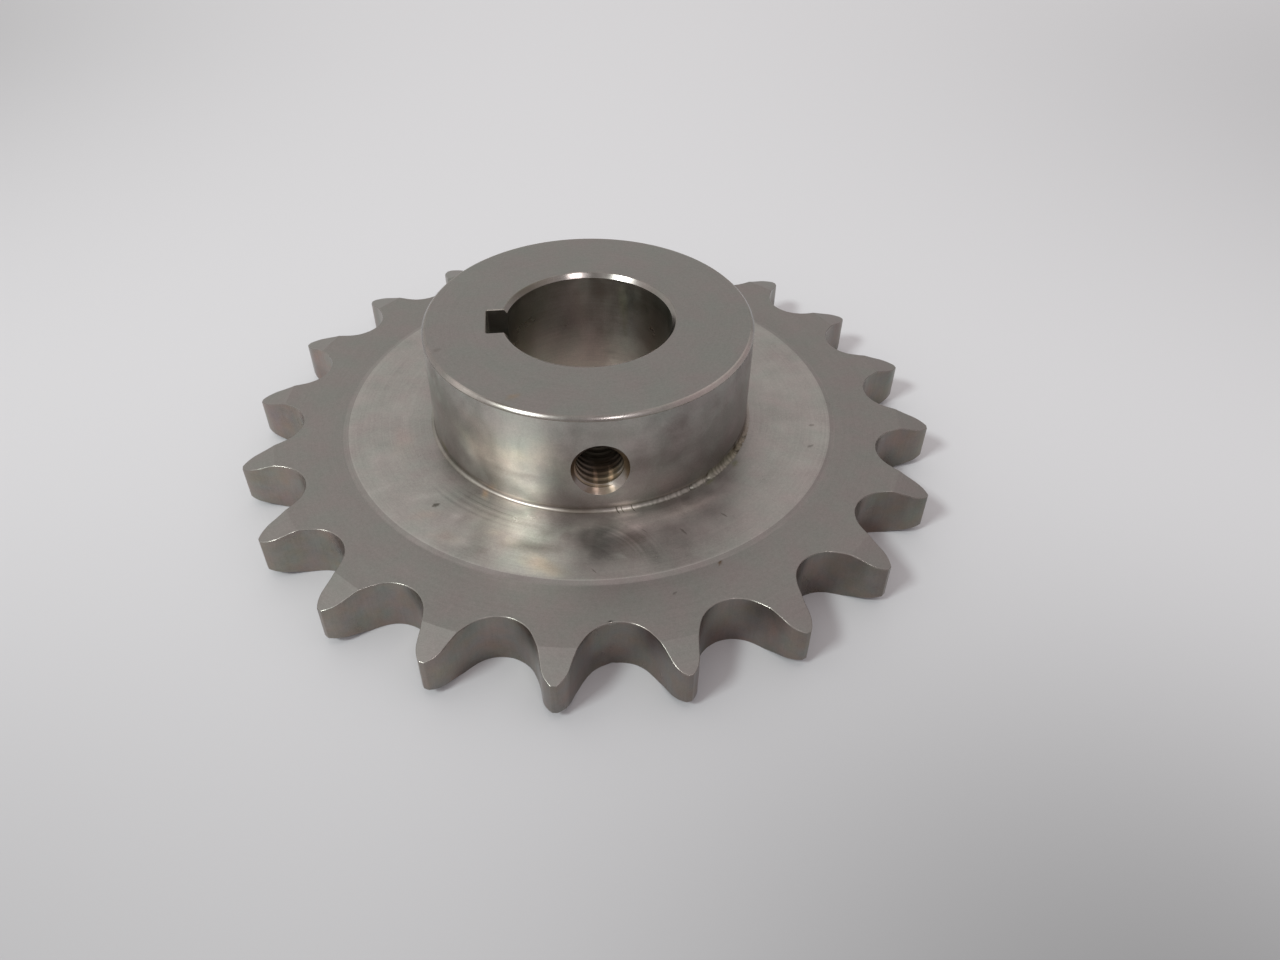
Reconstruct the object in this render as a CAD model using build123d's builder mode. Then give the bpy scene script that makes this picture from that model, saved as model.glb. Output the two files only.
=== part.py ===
from build123d import *
from math import cos, radians, sin, sqrt, tan
import os

# Chain sprocket with a hub on one side, bored and keyed to size, made in one piece.
# Lengths are in millimetres and angles in degrees.
# Z is the bore's axis, Z = 0 is the flat back face, and the hub points up.
# The keyway lies on -X, in line with a tooth gap.

# Chain that runs on the teeth
chain_pitch = 15.875
roller_diameter = 10.16
teeth = 20

# Toothed plate
plate_thickness = 8.4
tip_trim = 0.45  # turned off the standard outside radius, which leaves flat tips
tip_corner_radius = 0.6  # rounding where the flat tip meets the tooth's flanks
tooth_bevel_reach = 4.9  # radial reach of each side's bevel, inwards from the tips
tooth_bevel_depth = 1.45  # axial depth of that bevel at the tips

# Raised face round the hub
raised_face_diameter = 76.2
raised_face_height = 0.2
raised_face_shoulder = 1.1  # radial width of its sloping edge

# Hub
length_through_bore = 25.4
hub_diameter = 50.0
hub_end_chamfer = 0.5
hub_root_fillet = 0.8

# Bore and keyway
bore_diameter = 25.4
bore_chamfer_width = 0.4
bore_chamfer_depth = 0.7
keyway_width = 6.35
keyway_depth = 3.175  # from the line where its sides meet the bore
keyway_corner_radius = 0.3

# Tapped set screw holes, M8 x 1.25, drilled to the thread's core
screw_core_diameter = 6.8
screw_countersink_diameter = 9.0
screw_countersink_angle = 90
screw_from_hub_end = 9.2
screw_directions = (180, 270)  # over the keyway, and a quarter turn from it

# Sizes that follow
half_tooth_angle = 180 / teeth
pitch_radius = chain_pitch / (2 * sin(radians(half_tooth_angle)))
outside_radius = chain_pitch * (0.6 + 1 / tan(radians(half_tooth_angle))) / 2 - tip_trim
plate_to_hub = plate_thickness + raised_face_height
raised_face_radius = raised_face_diameter / 2
hub_radius = hub_diameter / 2
bore_radius = bore_diameter / 2
keyway_bottom = sqrt(bore_radius**2 - (keyway_width / 2) ** 2) + keyway_depth
screw_height = length_through_bore - screw_from_hub_end

# Standard tooth form for roller chain: each gap has a seating curve for the roller, then on
# each side a working curve, a short straight and a topping curve that rounds the tooth's tip.
# The shares of the roller diameter and the angles are the standard's own, and so are the two
# allowances, which are 0.0015 inch.
form_allowance = 0.0381
seating_radius = 0.5025 * roller_diameter + form_allowance
seating_angle = 35 + 60 / teeth
working_offset = 0.8 * roller_diameter
working_radius = 1.3025 * roller_diameter + form_allowance
working_angle = 18 - 56 / teeth
straight_angle = 17 - 64 / teeth
topping_offset = 1.4 * roller_diameter
straight_length = topping_offset * sin(radians(straight_angle)) - working_offset * sin(
    radians(working_angle)
)
topping_radius = (
    working_offset * cos(radians(working_angle))
    + topping_offset * cos(radians(straight_angle))
    - working_radius
)
pointed_height = sqrt(topping_radius**2 - (topping_offset - chain_pitch / 2) ** 2)
pointed_radius = chain_pitch / 2 / tan(radians(half_tooth_angle)) + pointed_height

# Points where the curves of one side of the gap meet, for a gap centred on +Y
gap_bottom = Vector(0, pitch_radius - seating_radius)
seat_direction = Vector(1, 0).rotate(Axis.Z, -seating_angle)
working_direction = seat_direction.rotate(Axis.Z, working_angle)
seat_end = Vector(0, pitch_radius) + seat_direction * seating_radius
working_centre = Vector(0, pitch_radius) - seat_direction * working_offset
working_end = working_centre + working_direction * working_radius
straight_end = working_end + working_direction.rotate(Axis.Z, 90) * straight_length
pointed_tip = Vector(0, pointed_radius).rotate(Axis.Z, -half_tooth_angle)
beyond_tips = Vector(0, pointed_radius / cos(radians(half_tooth_angle)))

with BuildSketch() as tooth_gap:
    with BuildLine():
        seat = TangentArc(gap_bottom, seat_end, tangent=(1, 0))
        working = TangentArc(seat @ 1, working_end, tangent=seat % 1)
        straight = Line(working @ 1, straight_end)
        topping = TangentArc(straight @ 1, pointed_tip, tangent=straight % 1)
        Line(topping @ 1, beyond_tips)
        mirror(about=Plane.YZ)
    make_face()

# Outline of the toothed plate, seen along the bore
with BuildSketch() as toothed_disc:
    Circle(outside_radius)
    with PolarLocations(0, teeth):
        add(tooth_gap.sketch, mode=Mode.SUBTRACT)
    corners = toothed_disc.vertices()
    corners = corners.filter_by(lambda corner: abs(corner.center().length - outside_radius) < 0.001)
    fillet(corners, radius=tip_corner_radius)

# Bevel that is turned on both sides of the teeth
with BuildSketch(Plane.XZ) as bevel_profile:
    with BuildLine():
        bevel_start = outside_radius - tooth_bevel_reach
        bevel_slope = tooth_bevel_depth / tooth_bevel_reach
        Polyline(
            (bevel_start, 0),
            (beyond_tips.Y, 0),
            (beyond_tips.Y, (beyond_tips.Y - bevel_start) * bevel_slope),
            close=True,
        )
    make_face()
    mirror(about=Plane.XY.offset(plate_thickness / 2))

with BuildPart() as sprocket:
    # Toothed plate
    extrude(toothed_disc.sketch, amount=plate_thickness)
    revolve(bevel_profile.sketch, axis=Axis.Z, mode=Mode.SUBTRACT)

    # Raised face and hub
    with BuildSketch(Plane.XZ):
        with BuildLine():
            Polyline(
                (0, plate_thickness),
                (raised_face_radius + raised_face_shoulder, plate_thickness),
                (raised_face_radius, plate_to_hub),
                (hub_radius, plate_to_hub),
                (hub_radius, length_through_bore),
                (0, length_through_bore),
                close=True,
            )
        make_face()
    revolve(axis=Axis.Z)

    hub_circles = sprocket.edges().filter_by(GeomType.CIRCLE)
    hub_circles = hub_circles.filter_by(lambda edge: abs(edge.radius - hub_radius) < 0.001)
    fillet(hub_circles.sort_by(Axis.Z)[0], radius=hub_root_fillet)
    chamfer(hub_circles.sort_by(Axis.Z)[-1], length=hub_end_chamfer)

    # Bore, countersunk a little at both ends
    Hole(bore_radius)
    bore_wall = sprocket.faces(Select.LAST).filter_by(GeomType.CYLINDER)[0]
    chamfer(
        bore_wall.edges().filter_by(GeomType.CIRCLE),
        length=bore_chamfer_depth,
        length2=bore_chamfer_width,
        reference=bore_wall,
    )

    # Keyway, broached right through
    with BuildSketch():
        with Locations((-keyway_bottom, 0)):
            slot = Rectangle(keyway_bottom, keyway_width, align=(Align.MIN, Align.CENTER))
        fillet(slot.vertices().group_by(Axis.X)[0], radius=keyway_corner_radius)
    extrude(amount=length_through_bore, mode=Mode.SUBTRACT)

    # Set screw holes, from the hub's side into the bore
    for direction in screw_directions:
        outwards = Vector(1, 0).rotate(Axis.Z, direction)
        mouth = outwards * hub_radius + Vector(0, 0, screw_height)
        with Locations(Plane(origin=mouth, z_dir=outwards)):
            CounterSinkHole(
                radius=screw_core_diameter / 2,
                counter_sink_radius=screw_countersink_diameter / 2,
                depth=hub_radius,
                counter_sink_angle=screw_countersink_angle,
            )

os.makedirs("parts", exist_ok=True)
sprocket.part.label = "sprocket"
export_step(sprocket.part, "parts/sprocket.step")
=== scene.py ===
from math import atan2, ceil, cos, degrees, e, hypot, pi, radians, sin, sqrt, tan

import bmesh
import bpy
import numpy as np
from mathutils import Matrix, Vector, noise


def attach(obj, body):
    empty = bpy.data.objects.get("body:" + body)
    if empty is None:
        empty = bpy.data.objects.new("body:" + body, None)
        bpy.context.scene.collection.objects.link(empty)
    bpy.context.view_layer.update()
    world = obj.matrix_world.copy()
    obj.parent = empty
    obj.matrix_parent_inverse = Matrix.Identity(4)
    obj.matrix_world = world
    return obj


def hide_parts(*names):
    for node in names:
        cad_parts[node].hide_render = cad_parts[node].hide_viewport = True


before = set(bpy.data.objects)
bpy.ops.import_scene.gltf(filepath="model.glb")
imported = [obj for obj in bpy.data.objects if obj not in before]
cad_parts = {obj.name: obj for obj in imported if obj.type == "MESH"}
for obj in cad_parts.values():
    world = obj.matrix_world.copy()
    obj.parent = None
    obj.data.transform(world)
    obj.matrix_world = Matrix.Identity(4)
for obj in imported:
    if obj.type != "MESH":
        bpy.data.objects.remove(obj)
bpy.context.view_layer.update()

# A chain sprocket with a hub on one side, made in one piece of steel, on a pale floor.
# Z is the bore's axis, Z = 0 is the flat back face, and the keyway lies on -X.
# The part's lengths are in millimetres and angles in degrees, until METRE scales the finished meshes.
METRE = 0.001

# ---------------------------------------------------------------- sizes
# As in the CAD
CHAIN_PITCH, ROLLER, TEETH = 15.875, 10.16, 20
PLATE, TIP_TRIM, BEVEL_REACH, BEVEL_DEPTH = 8.4, 0.45, 4.9, 1.45
FACE_R, FACE_RISE, FACE_SHOULDER = 38.1, 0.2, 1.1
HUB_R, HUB_TOP = 25.0, 25.4
BORE_R, BORE_CHAMFER, BORE_CHAMFER_DEEP = 12.7, 0.4, 0.7
KEY_WIDTH, KEY_DEPTH, KEY_CORNER = 6.35, 3.175, 0.3
SCREW_Z, SCREW_CORE, SINK_R = 16.2, 3.4, 4.5  # height of the set screw holes, and two of their radii

# A little different from the CAD, as the photograph shows them
HUB_CHAMFER, ROOT_FILLET = 0.45, 0.55
MOUTH_WIDE = 0.5  # width of the bore's chamfer at the hub's end
TOPPING_R, CORNER = 4.2, 0.28  # slightly more pointed teeth, and their tips' corners seen from above
SIDE_SCREW, KEY_SCREW = 269.3, 180  # directions of the two holes, not quite a quarter turn apart

# Detail that the CAD leaves out
EDGE, HOLD = 0.14, 0.08  # rounding of the teeth's edges, and the flat kept beside it
THREAD_R, THREAD_PITCH = 3.75, 1.25

# Wear that the photograph shows
CHATTER_PITCH = 0.8  # between the tool's marks in the hub's root
ROOT_PITS = ((327.8, 0.6), (309.3, 0.5), (336.5, 0.45), (331.8, 0.4), (301.5, 0.3))  # azimuth, half width
ROOT_PIT_DEPTH = 0.22
NICKS = (  # x, y and depth of knocks on the teeth's edges
    (-0.7, -45.6, 0.3),
    (-9.1, -54.6, 0.22),
    (-8.2, -54.8, 0.25),
    (-25.1, -48.9, 0.3),
    (8.1, -54.6, 0.2),
)
NICK_SIZE = 0.4

# Facets
STEPS = 16  # across one tooth
AROUND = TEETH * STEPS  # round the whole disc
FINE = 3  # times as many round the hub's root

# Sizes that follow
HALF = 180 / TEETH  # half of a tooth's angle
MIDDLES = [HALF + 2 * HALF * i for i in range(TEETH)]  # directions of the teeth
PITCH_R = CHAIN_PITCH / (2 * sin(radians(HALF)))
TIP_R = CHAIN_PITCH * (0.6 + 1 / tan(radians(HALF))) / 2 - TIP_TRIM
BEVEL_R = TIP_R - BEVEL_REACH
FACE_Z = PLATE + FACE_RISE
KEY_BOTTOM = sqrt(BORE_R**2 - (KEY_WIDTH / 2) ** 2) + KEY_DEPTH


def out(angle):
    return np.array((cos(radians(angle)), sin(radians(angle))))


def azimuth_of(v):
    return degrees(atan2(v[1], v[0])) % 360


# ---------------------------------------------------------------- shape
def outline():
    """One side of a gap centred on +Y, from its bottom to the tooth's flat tip.

    It is a list of (point, outward normal). The shares and angles are those of the standard form for roller
    chain, as in the CAD. Only the topping curve has a radius of its own, TOPPING_R.
    """
    allowance = 0.0381
    seat_r = 0.5025 * ROLLER + allowance
    work_r = 1.3025 * ROLLER + allowance
    work_off, top_off = 0.8 * ROLLER, 1.4 * ROLLER
    seat_angle, work_angle, line_angle = 35 + 60 / TEETH, 18 - 56 / TEETH, 17 - 64 / TEETH
    line = top_off * sin(radians(line_angle)) - work_off * sin(radians(work_angle))
    seat_c = np.array((0, PITCH_R))
    work_c = seat_c - out(-seat_angle) * work_off
    work_d = out(work_angle - seat_angle)
    line_start = work_c + work_d * work_r
    line_end = line_start + np.array((-work_d[1], work_d[0])) * line
    top_c = line_end + work_d * TOPPING_R

    # the tip's rounded corner touches the topping curve and the tip circle from inside
    far, to_tip, to_top = hypot(*top_c), TIP_R - CORNER, TOPPING_R - CORNER
    along = (to_tip * to_tip - to_top * to_top + far * far) / (2 * far)
    ray = top_c / far
    aside = np.array((-ray[1], ray[0])) * sqrt(to_tip * to_tip - along * along)
    corner_c = min((ray * along + aside, ray * along - aside), key=lambda c: c[0])

    top_starts, top_ends = azimuth_of(-work_d), azimuth_of(corner_c - top_c)
    # centre, radius, first angle and sweep of each arc, and 1 where it bulges out of the steel or -1 where in
    arcs = {
        0: (seat_c, seat_r, -90, 90 - seat_angle, -1),
        1: (work_c, work_r, -seat_angle, work_angle, -1),
        3: (top_c, TOPPING_R, top_starts, top_ends - top_starts, 1),
        4: (corner_c, CORNER, top_ends, azimuth_of(corner_c) - top_ends, 1),
    }
    facets = (13, 8, 2, 13, 4)

    def curve(t):
        """The point and normal at t, which grows by 1 along each of the five curves."""
        part = min(int(t), len(facets) - 1)
        if part not in arcs:  # the short straight
            return line_start + (line_end - line_start) * (t - part), -work_d
        centre, radius, first, sweep, bulge = arcs[part]
        n = out(first + (t - part) * sweep)
        return centre + n * radius, n * bulge

    def inset_r(t):
        p, n = curve(t)
        return hypot(*(p - n * (EDGE + HOLD)))

    places = [part + i / count for part, count in enumerate(facets) for i in range(count)] + [len(facets)]
    # the nearest place moves to where the bevel's crease meets the flank, so that one row carries the crease
    low, high = 1.0, 4.0
    for _ in range(50):
        middle = (low + high) / 2
        low, high = (middle, high) if inset_r(middle) < BEVEL_R else (low, middle)
    nearest = min(range(len(places)), key=lambda i: abs(places[i] - low))
    places[nearest] = low
    return [curve(t) for t in places]


def whole_outline(side):
    """The outline of all the teeth, counter-clockwise, as an array of points and one of outward normals."""

    def placed(k, middle, way):
        """A point of the side, in the gap before the tooth at middle (way 1) or after it (way -1)."""
        p, n = side[k]
        gap = middle - way * HALF
        a = radians(gap) + way * atan2(*p)
        return hypot(*p) * np.array((cos(a), sin(a))), out(gap + way * degrees(atan2(*n)))

    last = len(side) - 1
    tip_half = radians(HALF) - atan2(*side[last][0])
    loop = []
    for middle in MIDDLES:
        loop += [placed(k, middle, 1) for k in range(last + 1)]
        for j in range(1, STEPS):
            a = radians(middle) - tip_half + 2 * tip_half * j / STEPS
            d = np.array((cos(a), sin(a)))
            loop.append((TIP_R * d, d))
        loop += [placed(k, middle, -1) for k in range(last, 0, -1)]
    return np.array([p for p, n in loop]), np.array([n for p, n in loop])


def bevel_drop(r):
    return np.clip((r - BEVEL_R) / BEVEL_REACH, 0, 1) * BEVEL_DEPTH


def wobble(x, y, z, size, seed=0.0):
    return noise.noise(Vector((x / size + seed, y / size - seed, z / size + 2 * seed)))


def ramp(x, low, high):
    """0 below low, 1 above high, smooth between."""
    f = min(max((x - low) / (high - low), 0), 1)
    return f * f * (3 - 2 * f)


def root_point(azimuth, up_share):
    """A point of the fillet at the hub's root, from the raised face (0) to the hub's wall (1)."""
    t = radians(90 * up_share)
    # on one side the fillet is wider, then steps up the wall, and the tool has chattered there
    worn = ramp(azimuth, 282, 298) * (1 - ramp(azimuth, 345, 358))
    stepped = ramp(azimuth, 308.8, 309.8) * (1 - 0.6 * ramp(azimuth, 324, 327))
    stepped *= 1 - ramp(azimuth, 336, 350)
    wide = ROOT_FILLET + 0.12 * worn + 0.15 * stepped
    tall = ROOT_FILLET + 0.1 * worn + 0.6 * stepped
    along = radians(azimuth) * HUB_R
    wander = wobble(along, 0, 0, 2.3, 5)
    mark = sin(2 * pi * (along / CHATTER_PITCH + 0.5 * up_share + 0.5 * wander))
    strength = 0.006 * ramp(azimuth, 262, 272) + 0.016 * worn + 0.03 * stepped
    lift = strength * (mark + 0.5 * wobble(along, up_share, 0, 0.7, 9)) * sin(pi * up_share)
    for centre, half in ROOT_PITS:
        off = radians(azimuth - centre) * HUB_R / half
        lift -= ROOT_PIT_DEPTH * np.exp(-(off**2)) * sin(pi * up_share) ** 2
    r = HUB_R + wide * (1 - sin(t)) + lift * sin(t)
    return r, FACE_Z + tall * (1 - cos(t)) + lift * cos(t)


def root_section(azimuth):
    """The hub's root at one azimuth: two places on the raised face, the fillet, and one on the hub's wall."""
    fillet = [root_point(azimuth, step / 10) for step in range(11)]
    return [(26.4, FACE_Z), (HUB_R + 1.15, FACE_Z), *fillet, (HUB_R, 10.0)]


def turned_sections():
    """Radius and height of the turned rings, before the hub's root and after it, ending on the back face."""
    inner_r = 44.4  # the innermost ring of the plate, on both faces
    before = [(r, PLATE) for r in (inner_r, 42.5, 40.5, FACE_R + FACE_SHOULDER + 0.12)]
    for f in [i / 8 for i in range(9)]:  # the shoulder, softened at both ends
        before.append((FACE_R + FACE_SHOULDER * (1 - f), PLATE + FACE_RISE * (3 * f * f - 2 * f**3)))
    before += [(r, FACE_Z) for r in (FACE_R - 0.15, 37.2, 36, 34, 32, 30, 28.5, 27.4)]

    after = [(HUB_R, z) for z in (11, 13, 15, 17, 19, 21, 23, 24.3)]
    # the corners of the hub's chamfer, and of the bore's at that end, are themselves slightly rounded
    chamfer_z, end_r = HUB_TOP - HUB_CHAMFER, HUB_R - HUB_CHAMFER
    after += [(HUB_R, chamfer_z - 0.15), (HUB_R - 0.01, chamfer_z), (HUB_R - 0.05, chamfer_z + 0.07)]
    after += [(end_r + 0.07, HUB_TOP - 0.05), (end_r, HUB_TOP - 0.01)]
    mouth_r, mouth_z = BORE_R + MOUTH_WIDE, HUB_TOP - BORE_CHAMFER_DEEP
    after += [(r, HUB_TOP) for r in (end_r - 0.2, 24, 22, 20, 18, 16, 14, mouth_r + 0.15)]
    after += [(mouth_r, HUB_TOP - 0.01), (mouth_r - 0.05, HUB_TOP - 0.05)]
    after += [(BORE_R + 0.05, mouth_z + 0.05), (BORE_R, mouth_z), (BORE_R, mouth_z - 0.15)]
    after += [(BORE_R, z) for z in (23, 20, 17, 14, 11, 8, 5, 2.5, 1, BORE_CHAMFER_DEEP)]
    back_r = BORE_R + BORE_CHAMFER
    after += [(r, 0) for r in (back_r, back_r + 0.2, 16, 20, 24, 28, 32, 36, 40, 43, inner_r)]
    return before, after


class Builder:
    """Collects the points and faces of a mesh."""

    def __init__(self):
        self.points, self.faces = [], []

    def add(self, p):
        self.points.append(p)
        return len(self.points) - 1

    def ring(self, r, z, count):
        turns = [2 * pi * i / count for i in range(count)]
        return [self.add((r * cos(t), r * sin(t), z)) for t in turns]

    def strip(self, a, b, closed=True):
        n = len(a)
        for i in range(n if closed else n - 1):
            j = (i + 1) % n
            self.faces.append((a[i], a[j], b[j], b[i]))

    def join(self, a, b):
        """Faces between two rings, where one may have several times as many points as the other."""
        if len(a) == len(b):
            return self.strip(a, b)
        few, many = sorted((a, b), key=len)
        k = len(many) // len(few)
        for i in range(len(few)):
            inner = [many[(k * i + j) % len(many)] for j in range(k + 1)]
            self.faces.append((few[i], *inner, few[(i + 1) % len(few)]))

    def prism(self, rings):
        """Walls between the rings, and a cap on each end."""
        for a, b in zip(rings, rings[1:]):
            self.strip(a, b)
        self.faces += [tuple(rings[0][::-1]), tuple(rings[-1])]

    def mesh(self, name):
        mesh = bpy.data.meshes.new(name)
        mesh.from_pydata([tuple(c * METRE for c in p) for p in self.points], [], self.faces)
        mesh.validate()
        return mesh


def sprocket_blank():
    """The turned and toothed blank, closed, before the keyway and the screw holes are cut."""
    b = Builder()
    side = outline()
    # radius and half angle of each row across a tooth, at the inset where the edge's rounding starts
    insets = [p - n * (EDGE + HOLD) for p, n in side]
    rows = [(hypot(*q), radians(HALF) - atan2(*q)) for q in insets]

    def face(back):
        """Rows across the teeth, on the top or the back. Returns the ring at their root and the boundary."""
        root = b.ring(rows[0][0], 0 if back else PLATE, AROUND)
        boundary = []
        for i, middle in enumerate(MIDDLES):
            grid = [[root[(i * STEPS + j) % AROUND] for j in range(STEPS + 1)]]
            for r, a in rows[1:]:
                z = bevel_drop(r) if back else PLATE - bevel_drop(r)
                turns = [radians(middle) - a + 2 * a * j / STEPS for j in range(STEPS + 1)]
                grid.append([b.add((r * cos(t), r * sin(t), z)) for t in turns])
                b.strip(grid[-2], grid[-1], closed=False)
            boundary += [row[0] for row in grid] + grid[-1][1:STEPS] + [row[-1] for row in grid[:0:-1]]
        return root, boundary

    top_root, top = face(back=False)
    back_root, back = face(back=True)

    # the teeth's edges are rounded unevenly, and more at the nicks
    loop, normals = whole_outline(side)
    worn = [1 + 0.35 * wobble(x, y, 0, 1.7) + 0.3 * wobble(x, y, 0, 0.5, 3) for x, y in loop]
    edge = EDGE * np.clip(worn, 0.5, 1.6)
    for x, y, depth in NICKS:
        edge += depth * np.exp(-(((loop - (x, y)) ** 2).sum(1)) / NICK_SIZE**2)
    drop = bevel_drop(np.hypot(*(loop - normals * edge[:, None]).T))

    def loop_ring(inset, heights):
        places = loop - normals * np.reshape(inset, (-1, 1))
        return [b.add((x, y, z)) for (x, y), z in zip(places, heights)]

    arc = [(1 - sin(radians(t)), 1 - cos(radians(t))) for t in (0, 30, 60, 90)]
    rings = [top]
    rings += [loop_ring(edge * inwards, PLATE - drop - edge * down) for inwards, down in arc]
    rings += [loop_ring(0, PLATE - drop - edge - HOLD), loop_ring(0, drop + edge + HOLD)]
    rings += [loop_ring(edge * inwards, drop + edge * up) for inwards, up in reversed(arc)]
    rings.append(back)
    for upper, lower in zip(rings, rings[1:]):
        b.strip(upper, lower)

    before, after = turned_sections()
    fine_turns = [360 * j / (AROUND * FINE) for j in range(AROUND * FINE)]
    turned = [b.ring(r, z, AROUND) for r, z in before]
    for places in zip(*(root_section(azimuth) for azimuth in fine_turns)):
        turned.append([b.add((*(out(t) * r), z)) for t, (r, z) in zip(fine_turns, places)])
    turned += [b.ring(r, z, AROUND) for r, z in after]
    turned = [top_root, *turned, back_root]
    for first, second in zip(turned, turned[1:]):
        b.join(first, second)
    return b.mesh("blank")


# ---------------------------------------------------------------- cutters
def keyway_cutter():
    b = Builder()
    half = KEY_WIDTH / 2

    def corner(side, start):
        centre = np.array((KEY_CORNER - KEY_BOTTOM, side * (half - KEY_CORNER)))
        return [(centre + out(t) * KEY_CORNER, out(t)) for t in np.arange(5) * 22.5 + start]

    inner_end = [(np.array((0, side * half)), np.array((0, side))) for side in (-1, 1)]
    plan = corner(-1, 180) + inner_end + corner(1, 90)
    # it reaches past both ends and widens there, which takes the sharp edge off
    blunt, past = 0.1, 0.6
    levels = ((-past, blunt + past), (blunt, 0), (HUB_TOP - blunt, 0), (HUB_TOP + past, blunt + past))
    b.prism([[b.add((*(p + n * grow), z)) for p, n in plan] for z, grow in levels])
    return b.mesh("keyway")


def thread_cutter(inner, outer):
    """A right-handed screw along +X, from the inner to the outer distance."""
    b = Builder()
    around = 64
    slope = tan(radians(30))
    flank = (THREAD_R - SCREW_CORE) * slope
    bottom = 0.24  # width of the groove that it leaves, at its bottom
    crest = THREAD_PITCH - bottom - 2 * flank
    soft = 0.2  # radius on the crest's outer corner
    profile = [(0, SCREW_CORE)]
    for t in (0, 30, 60):
        x = crest - soft * slope + soft * sin(radians(t))
        profile.append((x, SCREW_CORE + soft * (1 - cos(radians(t)))))
    profile += [(crest + flank, THREAD_R), (crest + flank + bottom, THREAD_R)]
    turns = ceil((outer - inner) / THREAD_PITCH)
    places = [(m * THREAD_PITCH + x, r) for m in range(turns) for x, r in profile]
    places.append((turns * THREAD_PITCH, SCREW_CORE))
    columns = []
    for i in range(around):
        t = 2 * pi * i / around
        shift = inner + THREAD_PITCH * i / around
        columns.append([b.add((x + shift, r * cos(t), r * sin(t))) for x, r in places])
    for i in range(around):  # the last column meets the first a whole turn further on
        skip = 0 if i < around - 1 else len(profile)
        a, c = columns[i], columns[(i + 1) % around]
        for j in range(len(places) - 1 - skip):
            b.faces.append((a[j], a[j + 1], c[j + 1 + skip], c[j + skip]))
    n = len(profile)
    start = [c[0] for c in columns] + columns[0][n:0:-1]
    end = [c[-1] for c in columns] + columns[-1][-2 : -2 - n : -1]
    past = 0.3
    for rim, x in ((start, inner - past), (end, inner + turns * THREAD_PITCH + THREAD_PITCH + past)):
        tip = b.add((x, 0, 0))
        for i in range(len(rim)):
            b.faces.append((rim[i], rim[(i + 1) % len(rim)], tip))
    return b.mesh("thread")


def sink_cutter():
    """A cone of 90 degrees along +X, which has the countersink's radius at the hub's wall."""
    b = Builder()
    around, tip_r, past = 96, 2.8, 1.6
    turns = [2 * pi * i / around for i in range(around)]
    ends = ((HUB_R - SINK_R + tip_r, tip_r), (HUB_R + past, SINK_R + past))
    b.prism([[b.add((x, r * cos(t), r * sin(t))) for t in turns] for x, r in ends])
    return b.mesh("sink")


def place(mesh, angle=0.0, height=0.0):
    """An object from the mesh, turned and lifted, with its faces pointing outwards."""
    ob = bpy.data.objects.new(mesh.name, mesh)
    lift = Matrix.Translation((0, 0, height * METRE))
    mesh.transform(lift @ Matrix.Rotation(radians(angle), 4, "Z"))
    bm = bmesh.new()
    bm.from_mesh(mesh)
    bmesh.ops.recalc_face_normals(bm, faces=bm.faces)
    bm.to_mesh(mesh)
    bm.free()
    bpy.context.scene.collection.objects.link(ob)
    return ob


def cut(target, tools):
    for tool in tools:
        mod = target.modifiers.new(tool.name, "BOOLEAN")
        mod.operation, mod.solver, mod.object = "DIFFERENCE", "EXACT", tool
        graph = bpy.context.evaluated_depsgraph_get()
        mesh = bpy.data.meshes.new_from_object(target.evaluated_get(graph))
        target.modifiers.clear()
        target.data = mesh
        bpy.data.objects.remove(tool)


sprocket = place(sprocket_blank())
tools = [place(keyway_cutter())]
# each thread starts inside the bore or the keyway, and ends outside the hub
for angle, inner in ((SIDE_SCREW, 11.15), (KEY_SCREW, 13.2)):
    tools.append(place(thread_cutter(inner, HUB_R + 1.6), angle, SCREW_Z))
    tools.append(place(sink_cutter(), angle, SCREW_Z))
cut(sprocket, tools)
me = sprocket.data
sprocket.name = me.name = "sprocket_steel"

# smooth shading, broken at real edges
me.shade_smooth()
me.set_sharp_from_angle(angle=radians(32))

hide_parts("sprocket")
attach(sprocket, "root")


# ---------------------------------------------------------------- materials
class Nodes:
    """A small helper that makes and links the shader nodes of a material or a world."""

    def __init__(self, owner):
        owner.use_nodes = True
        self.tree = owner.node_tree
        self.tree.nodes.clear()

    def make(self, kind, inputs=(), **settings):
        node = self.tree.nodes.new(kind)
        for key, value in settings.items():
            setattr(node, key, value)
        for key, value in dict(inputs).items():
            if isinstance(value, bpy.types.NodeSocket):
                self.tree.links.new(value, node.inputs[key])
            else:
                node.inputs[key].default_value = value
        return node

    def math(self, operation, *values):
        return self.make("ShaderNodeMath", dict(enumerate(values)), operation=operation).outputs[0]

    def vector(self, operation, *values):
        node = self.make("ShaderNodeVectorMath", dict(enumerate(values)), operation=operation)
        return node.outputs["Value" if operation in ("DISTANCE", "DOT_PRODUCT", "LENGTH") else 0]

    def scaled(self, vector, scale):
        inputs = {0: vector, "Scale": scale}
        return self.make("ShaderNodeVectorMath", inputs, operation="SCALE").outputs[0]

    def remap(self, value, low, high, at_low=0.0, at_high=1.0, interpolation="LINEAR"):
        inputs = {0: value, 1: low, 2: high, 3: at_low, 4: at_high}
        return self.make("ShaderNodeMapRange", inputs, interpolation_type=interpolation).outputs[0]

    def spread(self, noise_value, low, high):
        """A noise's usual range, stretched from low to high."""
        return self.remap(noise_value, 0.3, 0.7, low, high)

    def tinted(self, factor, low, high):
        """A tint between two colours."""
        mix = self.make("ShaderNodeMix", {"Factor": factor}, data_type="RGBA")
        mix.inputs[6].default_value, mix.inputs[7].default_value = (*low, 1), (*high, 1)
        return mix.outputs[2]

    def cloud(self, vector, scale, detail=2.0, rough=0.5):
        inputs = {"Vector": vector, "Scale": scale, "Detail": detail, "Roughness": rough}
        return self.make("ShaderNodeTexNoise", inputs).outputs["Fac"]


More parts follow.
